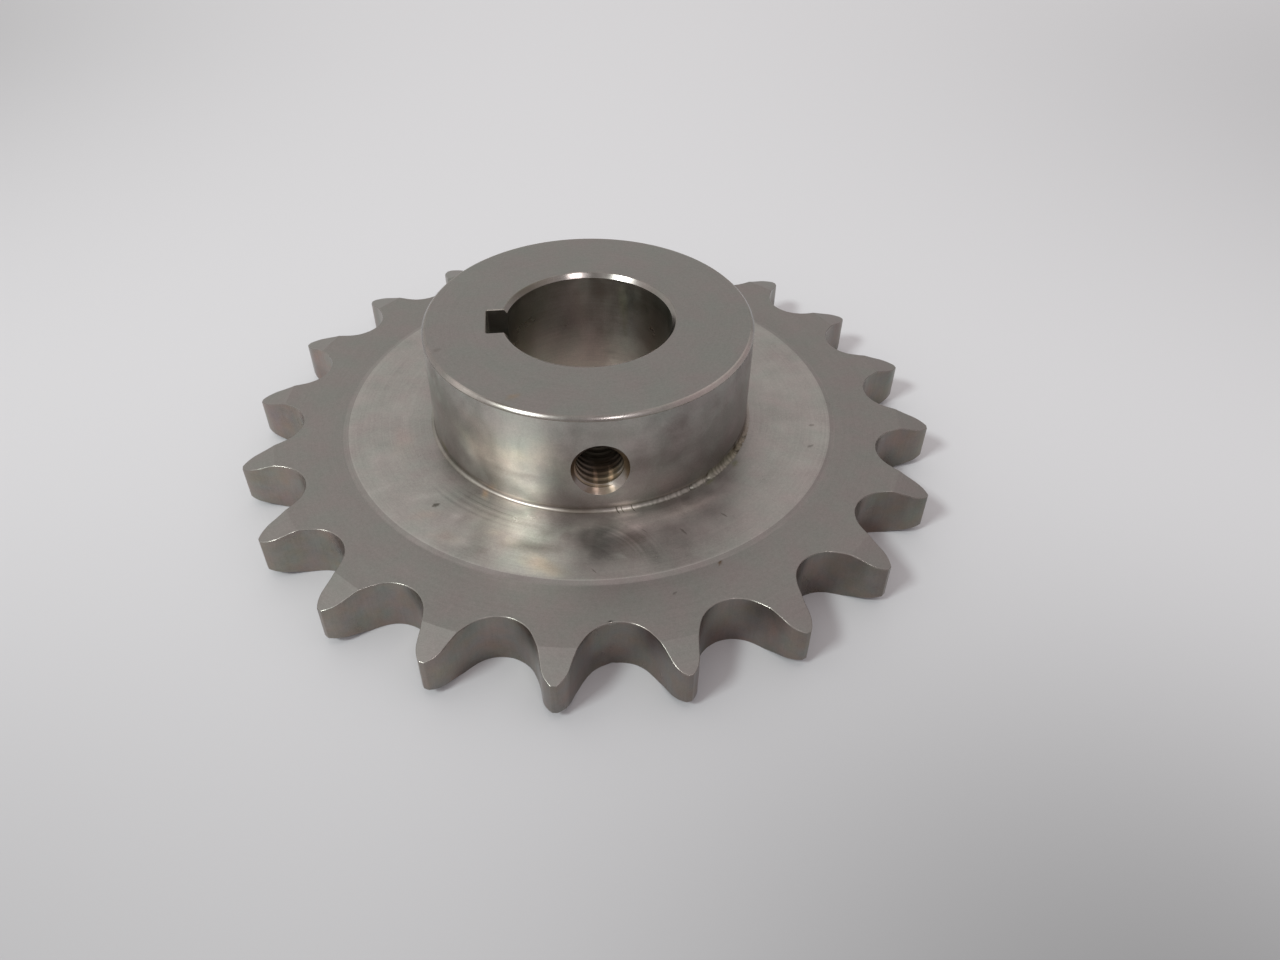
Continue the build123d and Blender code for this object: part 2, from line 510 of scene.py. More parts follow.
# What a mark does to the steel under it: tint, change of roughness, height. Several kinds are painted light
# rather than marks on the steel: painted highlights, glints and sheen that brighten it, and painted shade
# that darkens it.
KINDS = {
    "pit": ((0.22, 0.20, 0.17), 0.25, -1.0),
    "rust": ((0.50, 0.36, 0.24), 0.2, 0.1),
    "tan": ((1.15, 0.92, 0.66), 0.12, 0.1),
    "brown": ((0.55, 0.42, 0.26), 0.2, 0.1),
    "pink": ((1.05, 0.975, 0.955), 0.0, 0.0),
    # a pale sheen, partly real smudges and partly painted sheen; then a painted highlight, painted light and
    # a painted glint
    "smudge_and_sheen": ((1.16, 1.17, 1.17), 0.1, 0.0),
    "painted_highlight": ((1.38, 1.32, 1.22), 0.0, 0.0),
    "painted_light": ((1.32, 1.31, 1.29), 0.0, 0.0),
    "painted_glint": ((2.7, 2.6, 2.6), 0.0, 0.0),
    # painted shade; then soot, which is also painted shade in creases and recesses
    "painted_shade": ((0.72, 0.70, 0.68), 0.05, 0.0),
    "soot_and_shade": ((0.40, 0.36, 0.32), 0.2, -0.3),
    "olive": ((0.80, 0.82, 0.66), 0.05, 0.0),
}
FIRM_KINDS = ("pit", "brown")  # at full strength halfway out, where the others fade from the middle
MARK_REACH = 1.25  # where a mark ends, in its half sizes
WHITE = (1, 1, 1)
BUMP_STRENGTH, BUMP_DISTANCE = 0.35, 0.00002  # the distance is in metres
CHATTER_AZIMUTHS = ((-84, -66), (-34, -16))  # where the tool's marks in the hub's root start and end


def steel(
    name,
    colour,
    roughness,
    grain="face",
    lines=0.5,
    mottle=0.12,
    cloudy=1.0,
    speck=1.0,
    patchy=1.0,
    chatter=0.0,
    scratches=0.0,
    anisotropic=0.0,
    marks_and_painted_light=(),
    arcs=(),
    painted_shading=(),
):
    """Bare machined steel.

    The grain is the surface that the turning lines run round, a face or a wall, or upright for the flanks.
    The strengths are those of the turning lines, the patches in tone (mottle), the patches in roughness
    (cloudy), the fine grit (speck), the drifts in colour (patchy), the tool's chatter and the scratches.
    A mark is (kind, place, half sizes, turned, strength); some kinds are real pits and stains, others painted
    highlights, glints and painted shade.
    An arc is a group of curved scratches: (centre of their circles, place, half sizes, turned, strength).
    A fade is painted light and shade along one coordinate: (coordinate, from, to, tint at from, tint at to).
    """
    mat = bpy.data.materials.new(name)
    n = Nodes(mat)
    place_mm = n.scaled(n.make("ShaderNodeTexCoord").outputs["Object"], 1 / METRE)
    x, y, z = n.make("ShaderNodeSeparateXYZ", {0: place_mm}).outputs
    reach = n.math("SQRT", n.math("ADD", n.math("MULTIPLY", x, x), n.math("MULTIPLY", y, y)))
    angle = n.math("ARCTAN2", y, x)

    def turning_lines(density, sweep, seed):
        across = n.math("MULTIPLY", reach if grain == "face" else z, density)
        rings = {0: across, 1: n.math("MULTIPLY", angle, sweep), 2: seed}
        return n.cloud(n.make("ShaderNodeCombineXYZ", rings).outputs[0], 1.0, 3.0, 0.6)

    def upright_lines(density):
        stretched = {"Vector": place_mm, "Scale": (density, density, density / 14)}
        return n.cloud(n.make("ShaderNodeMapping", stretched).outputs[0], 1.0, 3.0, 0.6)

    if grain == "upright":
        fine, broad = upright_lines(3.0), upright_lines(0.9)
    else:
        fine, broad = turning_lines(5.0, 1.2, 3.0), turning_lines(1.7, 0.6, 11.0)
    # noises of the place, with their scale per millimetre
    grit, dots = n.cloud(place_mm, 6.0, 2.0, 0.6), n.cloud(place_mm, 2.2, 2.0, 0.6)
    patch, small = n.cloud(place_mm, 0.13), n.cloud(place_mm, 0.5)

    tone = n.math("ADD", n.spread(patch, -mottle, mottle), n.spread(small, -mottle * 0.4, mottle * 0.4))
    tone = n.math("ADD", tone, n.math("MULTIPLY", n.spread(fine, -0.14, 0.14), lines))
    tone = n.math("ADD", tone, n.math("MULTIPLY", n.spread(broad, -0.05, 0.05), lines))
    tone = n.math("ADD", tone, n.spread(grit, -0.07 * speck, 0.07 * speck))
    tone = n.math("ADD", tone, n.spread(dots, -0.035 * speck, 0.035 * speck))
    tone = n.math("ADD", tone, 1.0)
    if chatter:  # the tool's marks round one side of the hub's root
        wander = n.math("MULTIPLY", n.cloud(place_mm, 0.45, 1.0), 4.0)
        count = n.math("ADD", n.math("MULTIPLY", angle, HUB_R / CHATTER_PITCH), wander)
        wave = n.math("MULTIPLY", n.math("SINE", n.math("MULTIPLY", count, 2 * pi)), chatter)
        starts, ends = [[radians(a) for a in limits] for limits in CHATTER_AZIMUTHS]
        within = n.math("MULTIPLY", n.remap(angle, *starts), n.remap(angle, *ends, 1.0, 0.0))
        tone = n.math("ADD", tone, n.math("MULTIPLY", wave, within))

    rough = n.math("ADD", n.spread(patch, -0.05 * cloudy, 0.06 * cloudy), roughness)
    rough = n.math("ADD", rough, n.spread(small, -0.03 * cloudy, 0.03 * cloudy))
    rough = n.math("ADD", rough, n.math("MULTIPLY", n.spread(broad, -0.06, 0.06), lines))

    relief = n.math("ADD", n.math("MULTIPLY", fine, lines), n.math("MULTIPLY", grit, 0.25))
    relief = n.math("ADD", relief, n.math("MULTIPLY", broad, lines))

    def blot(centre, half, turned, strength, core=0.0):
        """An uneven spot: its strength within the core, fading to 0 at MARK_REACH."""
        spot = {"Vector": place_mm, "Location": centre, "Rotation": (0, 0, radians(turned)), "Scale": half}
        local = n.make("ShaderNodeMapping", spot, vector_type="TEXTURE").outputs[0]
        away = n.math("ADD", n.vector("LENGTH", local), n.spread(n.cloud(local, 0.9), -0.3, 0.3))
        return n.remap(away, core, MARK_REACH, strength, 0.0, "SMOOTHSTEP")

    for circle, centre, half, turned, strength in arcs:
        aside = n.vector("DISTANCE", place_mm, (*circle, centre[2]))
        groove = n.make("ShaderNodeCombineXYZ", {0: n.math("MULTIPLY", aside, 1.9)}).outputs[0]
        groove = n.spread(n.cloud(groove, 1.0), -1.0, 1.0)
        groove = n.math("MULTIPLY", groove, blot(centre, half, turned, strength))
        tone = n.math("ADD", tone, n.math("MULTIPLY", groove, 0.22))
        relief = n.math("ADD", relief, groove)

    # faint drifts between a pinkish and a greenish grey, as on oiled steel
    drift = n.spread(n.cloud(place_mm, 0.22), 0.0, 1.0)
    pink, green = ([1.025 + 0.035 * patchy * k, 0.98 - 0.015 * patchy * k, 0.983] for k in (1, -1))
    shade = n.vector("MULTIPLY", n.tinted(drift, pink, green), colour)
    if patchy > 1:  # brownish and greyish clouds a few millimetres across
        clouds = n.spread(n.cloud(place_mm, 0.4), 0.0, 1.0)
        shade = n.vector("MULTIPLY", shade, n.tinted(clouds, (1.05, 0.99, 0.93), (0.95, 1.01, 1.05)))
    shade = n.scaled(shade, tone)
    if scratches:  # straight ones, in three directions
        for turned, seed in ((38, 0.0), (-52, 7.0), (75, 19.0)):
            spun = {"Vector": place_mm, "Rotation": (0, 0, radians(turned))}
            spun.update({"Location": (seed, seed, 0), "Scale": (0.12, 3.2, 3.2)})
            line = n.cloud(n.make("ShaderNodeMapping", spun).outputs[0], 1.0)
            line = n.remap(line, 0.64, 0.74, 0.0, scratches)
            relief = n.math("SUBTRACT", relief, line)
            rough = n.math("ADD", rough, n.math("MULTIPLY", line, 0.15))
    # painted light and shade that change along one coordinate
    for coordinate, low, high, tint_low, tint_high in painted_shading:
        value = {"reach": reach, "x": x, "z": z}[coordinate]
        share = n.remap(value, low, high, interpolation="SMOOTHSTEP")
        shade = n.vector("MULTIPLY", shade, n.tinted(share, tint_low, tint_high))
    # real pits and stains, and painted highlights, glints and shade
    for kind, centre, half, turned, strength in marks_and_painted_light:
        mask = blot(centre, half, turned, strength, core=0.5 if kind in FIRM_KINDS else 0.0)
        tint, coarser, height = KINDS[kind]
        shade = n.vector("MULTIPLY", shade, n.tinted(mask, WHITE, tint))
        rough = n.math("ADD", rough, n.math("MULTIPLY", mask, coarser))
        relief = n.math("ADD", relief, n.math("MULTIPLY", mask, height))

    bump = {"Height": relief, "Strength": BUMP_STRENGTH, "Distance": BUMP_DISTANCE}
    normal = n.make("ShaderNodeBump", bump).outputs[0]
    surface = {"Base Color": shade, "Metallic": 1.0, "Roughness": rough, "Normal": normal}
    if anisotropic:
        tangent = n.make("ShaderNodeTangent", direction_type="RADIAL", axis="Z").outputs[0]
        surface.update({"Anisotropic": anisotropic, "Anisotropic Rotation": 0.25, "Tangent": tangent})
    shader = n.make("ShaderNodeBsdfPrincipled", surface)
    n.make("ShaderNodeOutputMaterial", {"Surface": shader.outputs[0]})
    return mat


def on_wall(azimuth, z, r=HUB_R):
    return (*(out(azimuth) * r), z)


# Each mark was placed after the photograph
# Besides real pits, rust and stains, many marks are painted highlights, glints, sheen and painted shade.
SHARED_MARKS_AND_PAINTED_LIGHT = [  # on the raised face and the hub's root alike
    ("pit", (1.95, -25.2, 8.8), (0.75, 0.09, 1), -63, 0.9),
    ("pit", (2.65, -25.1, 8.8), (0.65, 0.08, 1), -63, 0.8),
    ("pit", (4.2, -25.0, 8.8), (0.7, 0.09, 1), -60, 0.8),
    ("tan", (-16.9, -19.9, 8.7), (0.6, 1.2, 1), 5, 0.75),
    # painted light over the tan streak
    ("painted_light", (-16.9, -19.9, 8.7), (0.7, 1.3, 1), 5, 1.1),
]
# Real pits, stains and tints, with painted highlights and sheen where the face mirrors the lamps and the lit
# hub, and painted shade where it mirrors the hub's dark side
FACE_MARKS_AND_PAINTED_LIGHT = SHARED_MARKS_AND_PAINTED_LIGHT + [
    ("pit", (-23.9, -21.5, FACE_Z), (0.6, 0.42, 1), 15, 0.75),
    ("pit", (10.8, -30.2, FACE_Z), (0.8, 0.2, 1), -60, 0.6),
    ("pit", (17.1, -27.5, FACE_Z), (0.6, 0.18, 1), -50, 0.5),
    ("pit", (34.5, -8.4, FACE_Z), (0.5, 0.28, 1), 0, 0.4),
    ("pit", (33.1, -13.5, FACE_Z), (0.6, 0.28, 1), 20, 0.4),
    ("smudge_and_sheen", (-25.4, -19.6, FACE_Z), (2.6, 0.9, 1), 8, 1.0),
    ("smudge_and_sheen", (-33.0, -17.8, FACE_Z), (3.2, 1.4, 1), 20, 0.7),
    ("smudge_and_sheen", (-21.1, -24.3, FACE_Z), (1.2, 1.0, 1), 0, 0.7),
    ("smudge_and_sheen", (-20.4, -29.5, FACE_Z), (2.6, 1.3, 1), -20, 1.0),
    ("painted_highlight", (-15.6, -28.0, FACE_Z), (1.5, 0.9, 1), -20, 0.4),
    ("painted_highlight", (-9.4, -35.6, FACE_Z), (3.6, 1.3, 1), -35, 0.55),
    ("painted_shade", (-17.6, -31.4, FACE_Z), (1.6, 1.4, 1), 0, 0.5),
    ("painted_shade", (-10.6, -31.4, FACE_Z), (4.8, 1.7, 1), -20, 0.85),
    ("painted_shade", (-8.3, -31.6, FACE_Z), (3.4, 1.6, 1), -14, 0.5),
    ("painted_highlight", (-11.6, -25.4, FACE_Z), (3.2, 1.5, 1), -24, 0.2),
    ("painted_shade", (-8.4, -28.9, FACE_Z), (1.7, 1.4, 1), 0, 0.7),
    ("painted_shade", (-5.6, -29.6, FACE_Z), (1.0, 1.0, 1), 0, 0.5),
    ("painted_shade", (-11.0, -26.9, FACE_Z), (3.0, 0.8, 1), -24, 0.35),
    ("painted_light", (-2.0, -31.0, FACE_Z), (1.8, 2.8, 1), -10, 0.9),
    ("painted_shade", (3.7, -31.3, FACE_Z), (2.5, 2.8, 1), 0, 1.1),
    ("painted_shade", (3.3, -34.6, FACE_Z), (3.0, 2.0, 1), 0, 0.4),
    ("painted_highlight", (-13.6, -30.1, FACE_Z), (1.7, 1.2, 1), -20, 0.35),
    ("painted_highlight", (-10.0, -33.4, FACE_Z), (2.6, 1.0, 1), -35, 0.45),
    ("painted_glint", (8.6, -27.0, FACE_Z), (9.5, 2.2, 1), 18, 0.4),
    ("painted_light", (12.5, -25.6, FACE_Z), (5.0, 2.2, 1), 27, 0.7),
    ("painted_light", (-0.8, -28.0, FACE_Z), (5.4, 1.7, 1), 0, 1.1),
    ("pink", (-25.4, -23.6, FACE_Z), (2.6, 1.6, 1), 0, 1.0),
    ("pink", (-22.2, -28.4, FACE_Z), (3.0, 1.8, 1), -30, 1.0),
    ("pink", (-29.5, -7.0, FACE_Z), (2.2, 5.0, 1), 10, 0.8),
    ("smudge_and_sheen", (-33.5, -11.0, FACE_Z), (0.9, 4.0, 1), 12, 0.5),
    ("smudge_and_sheen", (-29.6, -1.5, FACE_Z), (0.7, 3.4, 1), 4, 0.5),
    ("smudge_and_sheen", (1.6, -34.2, FACE_Z), (1.5, 0.5, 1), -38, 0.9),
    ("painted_glint", (3.2, -26.3, FACE_Z), (2.2, 0.7, 1), 7, 0.4),
    ("painted_light", (-12.8, -22.9, FACE_Z), (6.0, 0.8, 1), -31, 0.9),
    ("painted_shade", (-12.0, -31.4, FACE_Z), (3.4, 2.2, 1), -25, 0.4),
    ("tan", (-9.0, -35.0, FACE_Z), (4.0, 1.8, 1), -35, 0.35),
    ("pit", (-2.2, -36.6, FACE_Z), (0.55, 0.1, 1), -55, 0.5),
    ("pit", (5.4, -29.6, FACE_Z), (0.6, 0.1, 1), -50, 0.4),
    ("olive", (16.2, -20.3, FACE_Z), (1.3, 0.45, 1), 38, 1.0),
    ("olive", (20.7, -16.5, FACE_Z), (1.0, 0.7, 1), 51, 1.0),
]
FACE_ARCS = [
    ((0.6, 0.4), (-17.6, -22.6, FACE_Z), (9.0, 4.0, 2), -38, 0.9),
    ((-4.5, -37.0), (1.6, -31.0, FACE_Z), (6.5, 4.5, 2), -30, 1.2),
]
# Mostly painted highlights and painted shade that shape the lamp's highlight on the wall, with an olive
# stain, and soot with painted shade low near the root
HUB_MARKS_AND_PAINTED_LIGHT = [
    ("painted_highlight", on_wall(246.4, 17.3), (3.0, 4, 2.4), 336, 0.6),
    ("painted_highlight", on_wall(238.0, 17.0), (3.0, 4, 2.6), 328, 0.25),
    ("painted_highlight", on_wall(231, 15.2), (7.0, 4, 4.6), 320, 0.85),
    ("painted_light", on_wall(258, 15.5), (2.4, 4, 3.6), 348, 0.85),
    ("painted_shade", on_wall(281, 15.8), (5.5, 4, 3.8), 11, 0.8),
    ("painted_light", on_wall(357, 17.0), (2.6, 4, 9.0), 87, 0.5),
    ("painted_light", on_wall(221, 14.0), (3.6, 4, 4.0), 311, 0.5),
    ("painted_shade", on_wall(272, 22.2), (5.0, 4, 2.6), 2, 0.45),
    ("painted_highlight", on_wall(228, 20.0), (4.2, 4, 3.2), 318, 0.35),
    ("painted_highlight", on_wall(252, 19.0), (2.6, 4, 3.4), 342, 0.45),
    ("painted_light", on_wall(246.5, 11.9), (3.4, 4, 2.3), 336, 0.9),
    ("painted_light", on_wall(225.5, 15.0), (3.4, 4, 4.2), 315, 0.6),
    ("smudge_and_sheen", on_wall(274, 11.3), (2.4, 4, 1.9), 4, 1.3),
    ("painted_glint", on_wall(277, 9.5), (2.4, 1.5, 0.7), 7, 0.5),
    ("painted_glint", on_wall(296, 9.3), (6.0, 2.5, 0.5), 26, 0.35),
    ("painted_glint", on_wall(238, 9.2), (7.0, 2.5, 0.45), 328, 0.45),
    ("painted_shade", on_wall(236, 13.8), (5.0, 4, 1.0), 326, 0.5),
    ("painted_shade", on_wall(247, 14.2), (2.4, 4, 0.8), 337, 0.3),
    ("painted_shade", on_wall(317, 11.3), (7.0, 4, 3.6), 47, 0.75),
    ("painted_shade", on_wall(232.5, 11.3), (2.2, 4, 1.7), 322, 0.5),
    ("olive", on_wall(203, 9.8), (1.8, 4, 0.8), 293, 1.2),
    ("soot_and_shade", on_wall(214, 9.5), (7.0, 4, 0.6), 304, 0.5),
    ("soot_and_shade", on_wall(327.3, 9.6), (0.7, 1.5, 0.8), 57, 0.9),
    ("soot_and_shade", on_wall(331, 10.0), (6.5, 1.5, 0.45), 61, 0.55),
    ("soot_and_shade", on_wall(343.5, 14.0), (0.22, 1.0, 5.0), 73, 0.35),
]
# Painted shade in the root's crease and low on the wall, painted light high on the wall, and painted shade
# towards the right
HUB_PAINTED_SHADING = [
    ("z", 9.1, 9.8, (0.82, 0.80, 0.75), WHITE),
    ("z", 9.4, 15.0, (0.76, 0.73, 0.71), WHITE),
    ("z", 15.0, 22.0, WHITE, (1.16, 1.17, 1.17)),
    ("x", 5.0, 22.0, WHITE, (0.87, 0.86, 0.87)),
]
# a tan stain and a small patch of painted shade
END_MARKS_AND_PAINTED_SHADE = [
    ("tan", (-11.6, -19.2, HUB_TOP), (1.3, 0.8, 1), 20, 0.5),
    ("painted_shade", (-22.3, -7.0, HUB_TOP), (0.9, 0.6, 1), 30, 0.6),
]
PLATE_MARKS = [
    ("rust", (15.0, -36.5, PLATE), (0.7, 0.32, 1), 60, 0.9),
    ("pit", (8.1, -41.4, PLATE), (0.4, 0.2, 1), 30, 0.4),
]
# Painted glints and painted shade along the fillet, brown and olive stains, and soot with painted shade in
# the pits
ROOT_MARKS_AND_PAINTED_LIGHT = SHARED_MARKS_AND_PAINTED_LIGHT + [
    ("painted_glint", on_wall(277, 8.9, 25.5), (2.6, 1.0, 0.8), 7, 0.6),
    ("brown", on_wall(332, 9.0, 25.2), (5.5, 2.0, 1.1), 62, 0.4),
    ("painted_shade", on_wall(226, 8.9, 25.3), (4.0, 1.5, 1.0), 316, 0.4),
    ("painted_shade", on_wall(261, 8.9, 25.5), (4.8, 1.2, 0.9), 351, 1.2),
    ("soot_and_shade", on_wall(261, 8.9, 25.5), (4.4, 1.2, 0.9), 351, 0.55),
    ("painted_shade", on_wall(208, 8.9, 25.5), (4.6, 1.2, 0.9), 298, 1.0),
    ("painted_glint", on_wall(241, 8.9, 25.3), (5.0, 1.5, 0.9), 331, 0.5),
    ("olive", on_wall(318, 9.1, 25.2), (9.0, 2.0, 1.1), 48, 0.7),
    ("soot_and_shade", on_wall(327.5, 9.0), (0.8, 1.5, 0.9), 57, 1.0),
    ("soot_and_shade", on_wall(309.3, 9.1), (0.3, 1.2, 0.7), 39, 0.8),
    ("soot_and_shade", on_wall(335.5, 9.1), (0.35, 1.2, 0.7), 66, 0.8),
    ("soot_and_shade", on_wall(331.8, 9.2), (0.2, 1.2, 0.6), 62, 0.6),
]
# Painted glints and painted shade on the chamfers of the bore's mouth and the hub's end, and an olive tint
EDGE_MARKS_AND_PAINTED_LIGHT = [
    ("painted_glint", (-1.2, 13.1, 25.1), (1.5, 1.2, 1.5), 3, 1.0),
    ("painted_shade", (-10.0, 8.4, 25.1), (5.5, 4.5, 1.5), -30, 1.0),
    ("olive", (-9.0, 9.4, 25.1), (6.0, 4.5, 1.5), 30, 0.5),
    ("painted_glint", on_wall(313, 25.1), (17.0, 7.0, 1.5), 43, 0.36),
    ("painted_glint", on_wall(221, 25.1), (4.0, 3.0, 1.5), 311, 0.4),
    ("painted_shade", on_wall(237, 25.1), (2.6, 3.0, 1.5), 327, 0.8),
]
# A painted streak of reflected light on the far wall, and an olive tint on the right
BORE_MARKS_AND_PAINTED_LIGHT = [
    ("painted_light", (-0.6, 12.7, 19), (1.7, 2, 9), 0, 0.6),
    ("olive", (6.3, 11.0, 20), (1.2, 2, 6), 0, 0.8),
]
# Painted light low in the bore, and painted shade near its top and on both sides
BORE_PAINTED_SHADING = [
    ("z", 7.0, 17.0, (1.95, 1.94, 1.86), WHITE),
    ("z", 14.0, 24.0, WHITE, (0.74, 0.78, 0.76)),
    ("x", -12.7, -5.0, (0.85, 0.88, 0.84), WHITE),
    ("x", 5.0, 12.7, WHITE, (0.72, 0.78, 0.74)),
]
# Painted light on the flanks to the left, painted shade on those to the right
FLANK_PAINTED_SHADING = [
    ("x", -45.0, 10.0, (1.3, 1.3, 1.3), WHITE),
    ("x", 20.0, 46.0, WHITE, (0.92, 0.94, 0.92)),
]
# Brown dirt, soot with painted shade on the right side, and two painted glints on the lower rim
SINK_MARKS_AND_PAINTED_LIGHT = [
    ("brown", (3.6, -24.2, 16.8), (1.9, 2.5, 3.2), 0, 0.9),
    ("soot_and_shade", (4.0, -24.5, 16.6), (1.2, 2.0, 2.8), 0, 0.9),
    ("brown", (-4.2, -24.3, 16.9), (1.0, 2.0, 2.2), 0, 0.9),
    ("brown", (0.2, -24.3, 12.2), (3.0, 2.0, 0.9), 0, 0.6),
    ("painted_glint", (-1.0, -24.4, 12.3), (0.5, 1.0, 0.6), 0, 0.8),
    ("painted_glint", (1.35, -24.3, 12.5), (0.5, 1.0, 0.6), 0, 1.1),
]
# Soot with painted shade on the right half, brown dirt low down, painted light on the left bands and painted
# glints along two streaks
THREAD_MARKS_AND_PAINTED_LIGHT = [
    ("soot_and_shade", (3.3, -23.0, 16.6), (3.2, 5.0, 4.0), 0, 1.2),
    ("brown", (0.4, -23.0, 13.0), (2.8, 5.0, 1.5), 0, 0.6),
    ("painted_highlight", (-3.4, -23.6, 15.8), (1.6, 2.0, 2.6), 0, 1.6),
    ("painted_glint", (-0.9, -22.6, 13.0), (0.4, 2.4, 1.4), 0, 1.1),
    ("painted_glint", (1.3, -22.6, 13.1), (0.45, 2.4, 1.4), 0, 1.2),
]

finishes = {
    "plate": steel(
        "plate_steel",
        (0.266, 0.265, 0.256),
        0.42,
        lines=0.2,
        mottle=0.02,
        cloudy=0.5,
        marks_and_painted_light=PLATE_MARKS,
    ),
    "flank": steel(
        "flank_steel",
        # darker than the plate, partly a rougher cut finish and partly painted shade
        (0.214, 0.196, 0.176),
        0.32,
        grain="upright",
        lines=0.3,
        patchy=2.0,
        painted_shading=FLANK_PAINTED_SHADING,
    ),
    "rim": steel("tooth_rim_steel", (0.265, 0.257, 0.24), 0.25, grain="upright", lines=0.3),
    "face": steel(
        "raised_face_steel",
        (0.378, 0.377, 0.364),
        0.35,
        lines=0.35,
        mottle=0.1,
        speck=1.2,
        scratches=0.12,
        anisotropic=0.45,
        marks_and_painted_light=FACE_MARKS_AND_PAINTED_LIGHT,
        arcs=FACE_ARCS,
        # painted shade on the face next to the hub
        painted_shading=[("reach", 26.0, 31.0, (0.9, 0.9, 0.9), WHITE)],
    ),
    "shoulder": steel("shoulder_steel", (0.282, 0.276, 0.268), 0.34, lines=0.4, mottle=0.06),
    "root": steel(
        "root_steel",
        (0.29, 0.285, 0.262),
        0.41,
        lines=0.4,
        mottle=0.15,
        chatter=0.16,
        marks_and_painted_light=ROOT_MARKS_AND_PAINTED_LIGHT,
        # painted shade towards the crease under the hub's wall
        painted_shading=[("z", 9.3, 9.9, WHITE, (0.9, 0.88, 0.82))],
    ),
    "hub": steel(
        "hub_steel",
        (0.39, 0.395, 0.375),
        0.40,
        grain="wall",
        lines=0.12,
        mottle=0.08,
        cloudy=1.6,
        speck=1.3,
        marks_and_painted_light=HUB_MARKS_AND_PAINTED_LIGHT,
        painted_shading=HUB_PAINTED_SHADING,
    ),
    "edge": steel("chamfer_steel", (0.27, 0.265, 0.253), 0.24, lines=0.4, mottle=0.1, marks_and_painted_light=EDGE_MARKS_AND_PAINTED_LIGHT),
    "end": steel(
        "hub_end_steel",
        (0.259, 0.262, 0.253),
        0.40,
        lines=0.2,
        mottle=0.02,
        cloudy=0.5,
        scratches=0.15,
        marks_and_painted_light=END_MARKS_AND_PAINTED_SHADE,
    ),
    "bore": steel(
        "bore_steel",
        (0.37, 0.345, 0.32),
        0.34,
        grain="wall",
        lines=0.4,
        mottle=0.06,
        anisotropic=0.75,
        marks_and_painted_light=BORE_MARKS_AND_PAINTED_LIGHT,
        painted_shading=BORE_PAINTED_SHADING,
    ),
    "key": steel("keyway_steel", (0.31, 0.31, 0.28), 0.42, grain="wall", lines=0.3, mottle=0.1),
    "sink": steel("countersink_steel", (0.25, 0.234, 0.217), 0.27, grain="wall", lines=0.3, marks_and_painted_light=SINK_MARKS_AND_PAINTED_LIGHT),
    "thread": steel(
        "thread_steel",
        (0.28, 0.25, 0.205),
        0.55,
        grain="wall",
        lines=0.2,
        mottle=0.2,
        marks_and_painted_light=THREAD_MARKS_AND_PAINTED_LIGHT,
        # painted shade, darker deeper in the hole
        painted_shading=[("reach", 17.5, 24.0, (0.2, 0.2, 0.19), WHITE)],
    ),
}
order = list(finishes)
for finish in order:
    me.materials.append(finishes[finish])

# How each face finds its finish
NEAR, CLEAR = 0.01, 0.02  # a face's middle is on a surface within the first, and off it beyond the second
FLAT = 0.999
TEETH_R = 44.8  # the teeth lie outside it
KEY_X, KEY_R, KEY_SIDE = -11.5, 16.2, KEY_WIDTH / 2 + 0.3  # limits of the keyway
HOLE_STARTS = 12  # the screw holes lie further out than this along their axes
CONE = sqrt(0.5)  # how far the countersink's normals point along its axis


def zone(c, normal):
    """The finish of a face, from its middle and normal."""
    r, z = hypot(c[0], c[1]), c[2]
    level = abs(normal[2])  # 1 for a flat face, 0 for an upright one
    in_keyway = c[0] < KEY_X and abs(c[1]) < KEY_SIDE and r < KEY_R
    if in_keyway and (abs(normal[1]) > FLAT or normal[0] > FLAT):
        return "key"
    for angle in (SIDE_SCREW, KEY_SCREW):
        axis = out(angle)
        aside = hypot(c[0] * axis[1] - c[1] * axis[0], z - SCREW_Z)
        on_its_side = c[0] * axis[0] + c[1] * axis[1] > HOLE_STARTS
        in_wall = BORE_R + CLEAR < r < HUB_R - CLEAR
        if on_its_side and in_wall and SCREW_CORE - 0.1 < aside < SINK_R + CLEAR:
            on_cone = abs(normal[0] * axis[0] + normal[1] * axis[1] - CONE) < 0.02
            return "sink" if on_cone and r > HUB_R - 2 else "thread"
    if r > TEETH_R:
        return "flank" if level < 0.2 else "rim" if level < 0.9 else "plate"
    if in_keyway and level < 0.9:
        return "key"
    if r < BORE_R + NEAR:
        return "bore"
    if z < 1:
        return "plate"
    if level > FLAT and z > HUB_TOP - NEAR:
        return "end"
    if r < BORE_R + 1 or z > HUB_TOP - HUB_CHAMFER - NEAR:
        return "edge"
    if r > FACE_R + FACE_SHOULDER:
        return "plate"
    if r > FACE_R + 0.3:
        return "shoulder"
    if level > FLAT:
        return "face"
    if level < 0.01:
        return "hub"
    return "root" if r < HUB_R + 1.1 else "face"


zones = [zone(poly.center / METRE, poly.normal) for poly in me.polygons]
for poly, finish in zip(me.polygons, zones):
    poly.material_index = order.index(finish)


